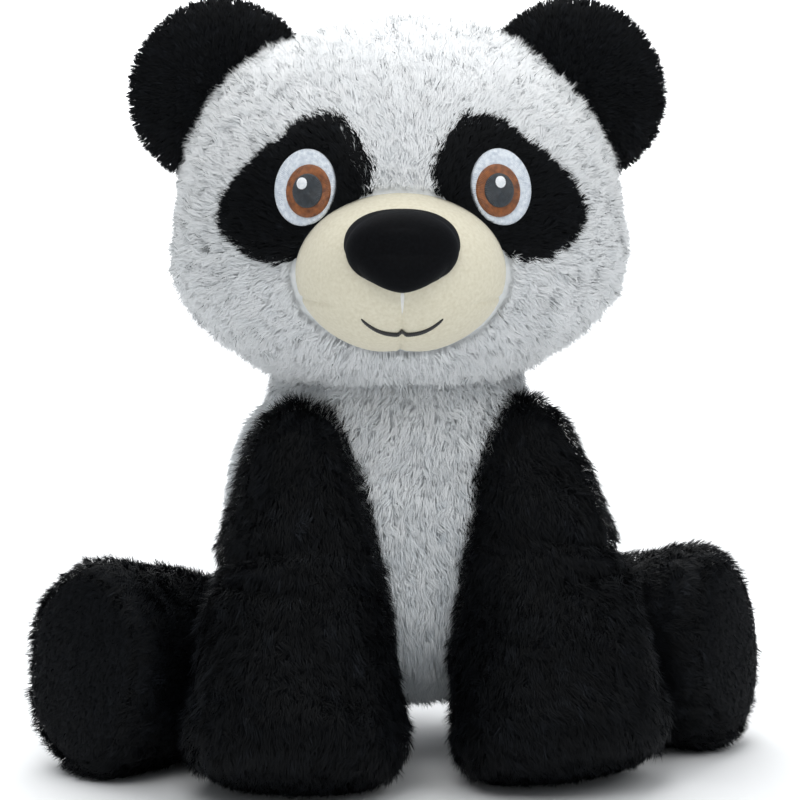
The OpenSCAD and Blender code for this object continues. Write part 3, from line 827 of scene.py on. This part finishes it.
floor_skin = 0.0012
for side in sides:
    shoulder, paw = leg_room(side, "arm")[:2]
    down = unit(paw - shoulder)
    across = unit(np.cross(down, np.array([0, 1.0, 0]))) * sides[side]
    across = across if across[0] * sides[side] > 0 else -across
    ahead = unit(np.cross(across, down))
    ahead = ahead if ahead[1] < 0 else -ahead
    arm_size = (0.0165, 0.0315, (paw - shoulder) @ down + 0.0065, 0.0150)

    def arm_skin(turn, s):
        """Leg outline turned about its length, a little flatter from front to back, fuller on the
        outer side of the elbow, with two soft creases across the front and outer side."""
        flatness = 0.86
        radius, place, _ = leg_outline(s, *arm_size)
        outer = np.cos(turn)
        elbow = place / arm_size[2]
        fuller = 1 + 0.10 * ridge(elbow - 0.42, 0.28) * np.clip(outer, 0, 1)
        creases = (0.0030 * ridge(elbow - 0.30 - 0.05 * outer, 0.026)
                   + 0.0026 * ridge(elbow - 0.46 + 0.04 * outer, 0.024))
        creases = creases * np.clip(0.4 + outer, 0, 1)
        radius = radius * fuller - creases * (radius > 0.006)
        points = (shoulder + (radius * np.cos(turn))[..., None] * across
                  + (radius * flatness * np.sin(turn))[..., None] * ahead + place[..., None] * down)
        points = uneven_about(points, shoulder, down, radius, 9)
        points[..., 2] = np.maximum(points[..., 2], floor_skin)
        return points

    def comb_arm(root, up):
        """Down along the leg and a little outwards, with a slow swirl."""
        return down * 0.95 + 0.3 * unevenness(root, 0.03, 7)[:, None] * across

    pad_from = leg_outline(np.zeros(1), *arm_size)[2]
    middle = (shoulder + paw) / 2
    for panel, first, last, low, high in (
            ("arm_outer_panel", -quarter, quarter, 0, pad_from),
            ("arm_inner_panel", quarter, 3 * quarter, 0, pad_from),
            ("paw_pad", 0, full_turn, pad_from, 1)):
        pad = panel == "paw_pad"
        s, turn = grid(np.linspace(low, high, 30 if pad else 90), np.linspace(first, last, 60))
        node = "%s_%s" % (panel, side)
        cloth = cloth_piece(node + "_cloth", arm_skin(turn, s), black_cloth, middle)
        pile = grow_pile(cloth, short_fibre if pad else long_fibre, 4.0, 0.0042 if pad else 0.0068, comb_arm,
                         lock=0.0030 if pad else 0.0036, pull=0.2, width=0.00026, rise=(0.9, 0.36), stray=0.2,
                         tone=0.42, tone_spread=0.5,
                         seed=51 + sides[side] + len(panel))
        sewn_on("arm_" + side, "sole_plush" if pad else "black_plush", 0.8, node, cloth, pile)

# ---------------------------------------------------------------------------------------------
# Hind legs: an upper and a lower panel of black plush and a sole of short smooth plush whose edge
# stands out as a rim. They lie on the floor and point out to the sides.

for side in sides:
    hip, sole = leg_room(side, "leg")[:2]
    out_along = unit(sole - hip)
    across = unit(np.cross(np.array([0, 0, 1.0]), out_along))
    over = unit(np.cross(out_along, across))
    hind_size = (0.0225, 0.0325, (sole - hip) @ out_along + 0.0035, 0.0115)
    height = 0.955 if side == "left" else 1.0

    def leg_skin(turn, s):
        """Leg outline turned about its length, narrower across than upright, with a groove where
        the sole is sewn on, pressed flat on the floor."""
        narrowness = 0.84
        radius, place, edge = leg_outline(s, *hind_size)
        groove = 0.0010 * ridge(s - edge, 0.006)
        radius = radius - groove
        points = (hip + (radius * narrowness * np.cos(turn))[..., None] * across
                  + (radius * height * np.sin(turn))[..., None] * over + place[..., None] * out_along)
        points = uneven_about(points, hip, out_along, radius, 12)
        points[..., 2] = np.maximum(points[..., 2], floor_skin)
        return points

    def comb_leg(root, up):
        """Out along the leg and a little down, with a slow swirl."""
        swirl = 0.3 * unevenness(root, 0.03, 5)[:, None]
        return out_along * 0.8 + np.array([0, 0, -0.35]) + swirl * across

    def comb_sole(root, up):
        """Smoothed down."""
        return np.array([0, 0, -0.9]) + 0.2 * unevenness(root, 0.02, 5)[:, None] * across

    sole_from = leg_outline(np.zeros(1), *hind_size)[2]
    middle = (hip + sole) / 2
    for panel, first, last, low, high in (
            ("leg_upper_panel", 0, half_turn, 0, sole_from),
            ("leg_lower_panel", half_turn, full_turn, 0, sole_from),
            ("foot_sole", 0, full_turn, sole_from, 1)):
        bare = panel == "foot_sole"
        s, turn = grid(np.linspace(low, high, 30 if bare else 70), np.linspace(first, last, 60))
        node = "%s_%s" % (panel, side)
        cloth = cloth_piece(node + "_cloth", leg_skin(turn, s), black_cloth, middle)
        pile = grow_pile(cloth, short_fibre if bare else long_fibre, 5.5 if bare else 3.4,
                         0.0024 if bare else 0.0056, comb_sole if bare else comb_leg, width=0.00026,
                         lock=0.0020 if bare else 0.0034, pull=0.2, rise=(0.8, 0.3),
                         stray=0.12 if bare else 0.2,
                         tone=0.42, tone_spread=0.35 if bare else 0.55, seed=61 + sides[side] + len(panel))
        sewn_on("leg_" + side, "sole_plush" if bare else "black_plush", 0.8, node, cloth, pile)

# ---------------------------------------------------------------------------------------------
# Filling, sealed inside: fibre in every part, thin wadding in the ears, a cloth pouch of pellets.

filling = knit_cloth("polyester fibre", (0.70, 0.70, 0.68), (0.92, 0.92, 0.90), 0.003, 0.0005)
pouch_cloth = knit_cloth("pouch cloth", (0.60, 0.60, 0.56), (0.75, 0.75, 0.72), 0.001, 0.0002)
pellet_plastic = knit_cloth("pellets", (0.60, 0.64, 0.68), (0.82, 0.84, 0.86), 0.003, 0.0008,
                            roughness=0.5, sheen=0)
for name, part in frame["nodes"].items():
    if "stuffing" in name or "batting" in name or name in ("pellets", "pellet_pouch"):
        part.data.materials.clear()
        own = {"pellets": pellet_plastic, "pellet_pouch": pouch_cloth}
        part.data.materials.append(own.get(name, filling))

# ---------------------------------------------------------------------------------------------
# Studio: a pale floor that curves up behind, broad soft lights from above, and a camera that looks
# a little down on the toy from a little to its right.

paper, _, floor_shader = plain_shader("studio paper", 0.9, 0, no_tint, 0.2)
floor_shader.inputs["Base Color"].default_value = (0.93, 0.94, 0.95, 1)
# Flat, then rising by the square of the distance beyond where the curve begins.
curve_from, steepness, below_toy = 1.5, 0.35, 0.0003
along, sweep = grid(np.linspace(-3, 3, 3), np.linspace(-3, 4, 60))
rise = np.clip(sweep - curve_from, 0, None) ** 2 * steepness - below_toy
floor = cloth_piece("studio_floor", np.stack([along, sweep, rise], -1), paper, np.array([0, 0, -5.0]))

world = bpy.data.worlds.new("studio")
world.use_nodes = True
world.node_tree.nodes["Background"].inputs["Color"].default_value = (0.93, 0.97, 1.0, 1)
world.node_tree.nodes["Background"].inputs["Strength"].default_value = 0.33
bpy.context.scene.world = world
bpy.context.scene.view_settings.view_transform = "Standard"


def stand(name, data, place, back):
    """Object at a place whose own back axis points along back, with its top as upright as it can be."""
    holder = bpy.data.objects.new(name, data)
    bpy.context.collection.objects.link(holder)
    right = unit(np.cross([0, 0, 1.0], back))
    top = np.cross(back, right)
    rows = [[right[k], top[k], back[k], place[k]] for k in range(3)]
    holder.matrix_world = Matrix(rows + [[0, 0, 0, 1]])
    return holder


def soft_light(name, place, aim, size, power):
    """Square area light that faces its aim."""
    light = bpy.data.lights.new(name, "AREA")
    light.size = size
    light.energy = power
    stand(name, light, place, unit(np.array(place) - np.array(aim)))


middle_aim = (0, 0, 0.12)
soft_light("key", (-0.35, -0.75, 1.2), middle_aim, 0.8, 6.2)
soft_light("fill", (0.7, -0.7, 1.0), middle_aim, 0.8, 4.2)
soft_light("top", (0.05, 0.1, 1.25), middle_aim, 0.9, 4)
soft_light("floor behind", (0, 1.3, 1.3), (0, 1.2, 0), 1.6, 28)
soft_light("wall", (0, 1.6, 1.6), (0, 3.6, 0.7), 1.2, 60)

azimuth, elevation, distance = math.radians(-10), math.radians(9), 1.2
level_back = np.array([math.sin(azimuth), -math.cos(azimuth), 0])
camera_back = level_back * math.cos(elevation) + np.array([0, 0, math.sin(elevation)])
camera_right = np.array([math.cos(azimuth), math.sin(azimuth), 0])
camera_top = np.cross(camera_back, camera_right)
aim = np.array([0, torso_y - 0.016, (cad_box[0][2] + cad_box[1][2]) / 2 + 0.0017])
aim = aim - camera_right * 0.0016 - camera_top * 0.0063
camera_data = bpy.data.cameras.new("camera")
camera_data.lens = 171
camera_data.sensor_width = 36
camera_data.clip_end = 20
bpy.context.scene.camera = stand("camera", camera_data, aim + camera_back * distance, camera_back)
